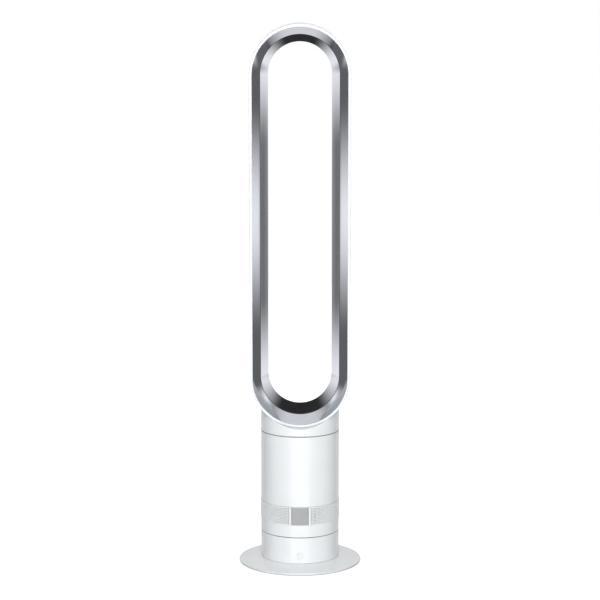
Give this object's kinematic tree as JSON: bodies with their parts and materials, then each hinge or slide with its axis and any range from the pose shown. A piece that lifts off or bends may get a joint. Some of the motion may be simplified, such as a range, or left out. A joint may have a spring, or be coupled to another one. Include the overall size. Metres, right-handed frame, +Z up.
{
  "type": "bladeless tower fan",
  "caption": "Free-standing tower fan with a racetrack air loop on a round column, a swivelling body, an intake band with a display, and a flat round foot.",
  "frame": {"origin": "on the floor, under the column's axis, at the middle of the foot", "axes": "+Z up along the column, the display and the front of the loop face -Y, +X to the right seen from the front"},
  "size_m": [0.2286, 0.2286, 1.007],
  "materials": {
    "white_shell": "moulded, high gloss",
    "inner_white": "moulded, satin",
    "nickel_coat": "metallised nickel coat, satin gloss",
    "display_tint": "tinted, smooth",
    "grey_seal": "moulded",
    "black_rubber": "moulded",
    "steel": "zinc plated",
    "acetal": "smooth, self-lubricating",
    "circuit_board": "solder mask",
    "black_plastic": "moulded, fine texture",
    "grey_plastic": "moulded",
    "acoustic_foam": "open-cell foam"
  },
  "bodies": {
    "base": {"foot_pad_ring": "black_rubber", "foot_cover": "inner_white", "ballast_plate": "steel", "foot_disc": "white_shell", "foot_screw_1": "steel", "foot_screw_2": "steel", "foot_screw_3": "steel", "foot_screw_4": "steel", "lower_housing": "white_shell", "cord_gland": "grey_plastic", "control_board": "circuit_board", "tact_switch": "black_plastic", "pivot_deck": "black_plastic", "deck_screw_1": "steel", "deck_screw_2": "steel", "thrust_ring": "acetal", "spindle_clip": "steel", "swivel_motor": "steel", "spindle_lead": "black_plastic"},
    "power_button": {"power_button": "white_shell"},
    "drive_pinion": {"drive_pinion": "acetal", "output_shaft": "steel"},
    "tower": {"drive_sector": "acetal", "turntable": "black_plastic", "pivot_bush": "acetal", "tower_skirt": "white_shell", "skirt_screw_1": "steel", "skirt_screw_2": "steel", "skirt_screw_3": "steel", "power_board": "circuit_board", "intake_floor": "inner_white", "intake_grille": "white_shell", "display_bezel": "white_shell", "display_window": "display_tint", "display_board": "circuit_board", "body_shell": "white_shell", "isolation_ring": "black_rubber", "impeller_shroud": "black_plastic", "diffuser_housing": "black_plastic", "motor_stator": "steel", "lower_bearing": "steel", "upper_bearing": "steel", "motor_end_cap": "black_plastic", "motor_board": "circuit_board", "motor_cover": "black_plastic", "silencer_foam": "acoustic_foam", "transition_duct": "black_plastic", "bayonet_ring": "grey_plastic", "neck_seal": "grey_seal", "loop_neck": "white_shell", "flow_divider": "inner_white", "loop_outer_casing": "white_shell", "front_trim": "nickel_coat", "diffuser_ring": "nickel_coat"},
    "blower": {"impeller": "grey_plastic", "motor_shaft": "steel", "motor_rotor": "grey_plastic"}
  },
  "joints": [
    {"name": "oscillation", "type": "hinge", "parent": "base", "child": "tower", "pos_m": [0, 0, 0.05], "axis": [0, 0, 1], "range_deg": [-35, 35]},
    {"name": "power_button_press", "type": "slide", "parent": "base", "child": "power_button", "axis": [0, 1, 0], "range_m": [0, 0.001], "stiffness_N_per_m": 600},
    {"name": "pinion_spin", "type": "hinge", "parent": "base", "child": "drive_pinion", "pos_m": [0, 0.045, 0.045], "axis": [0, 0, 1], "range_deg": [-140, 140]},
    {"name": "impeller_spin", "type": "hinge", "parent": "tower", "child": "blower", "pos_m": [0, 0, 0.15], "axis": [0, 0, 1], "continuous": true}
  ],
  "couplings": [
    {"joint": "pinion_spin", "follows": "oscillation", "ratio": -4}
  ]
}
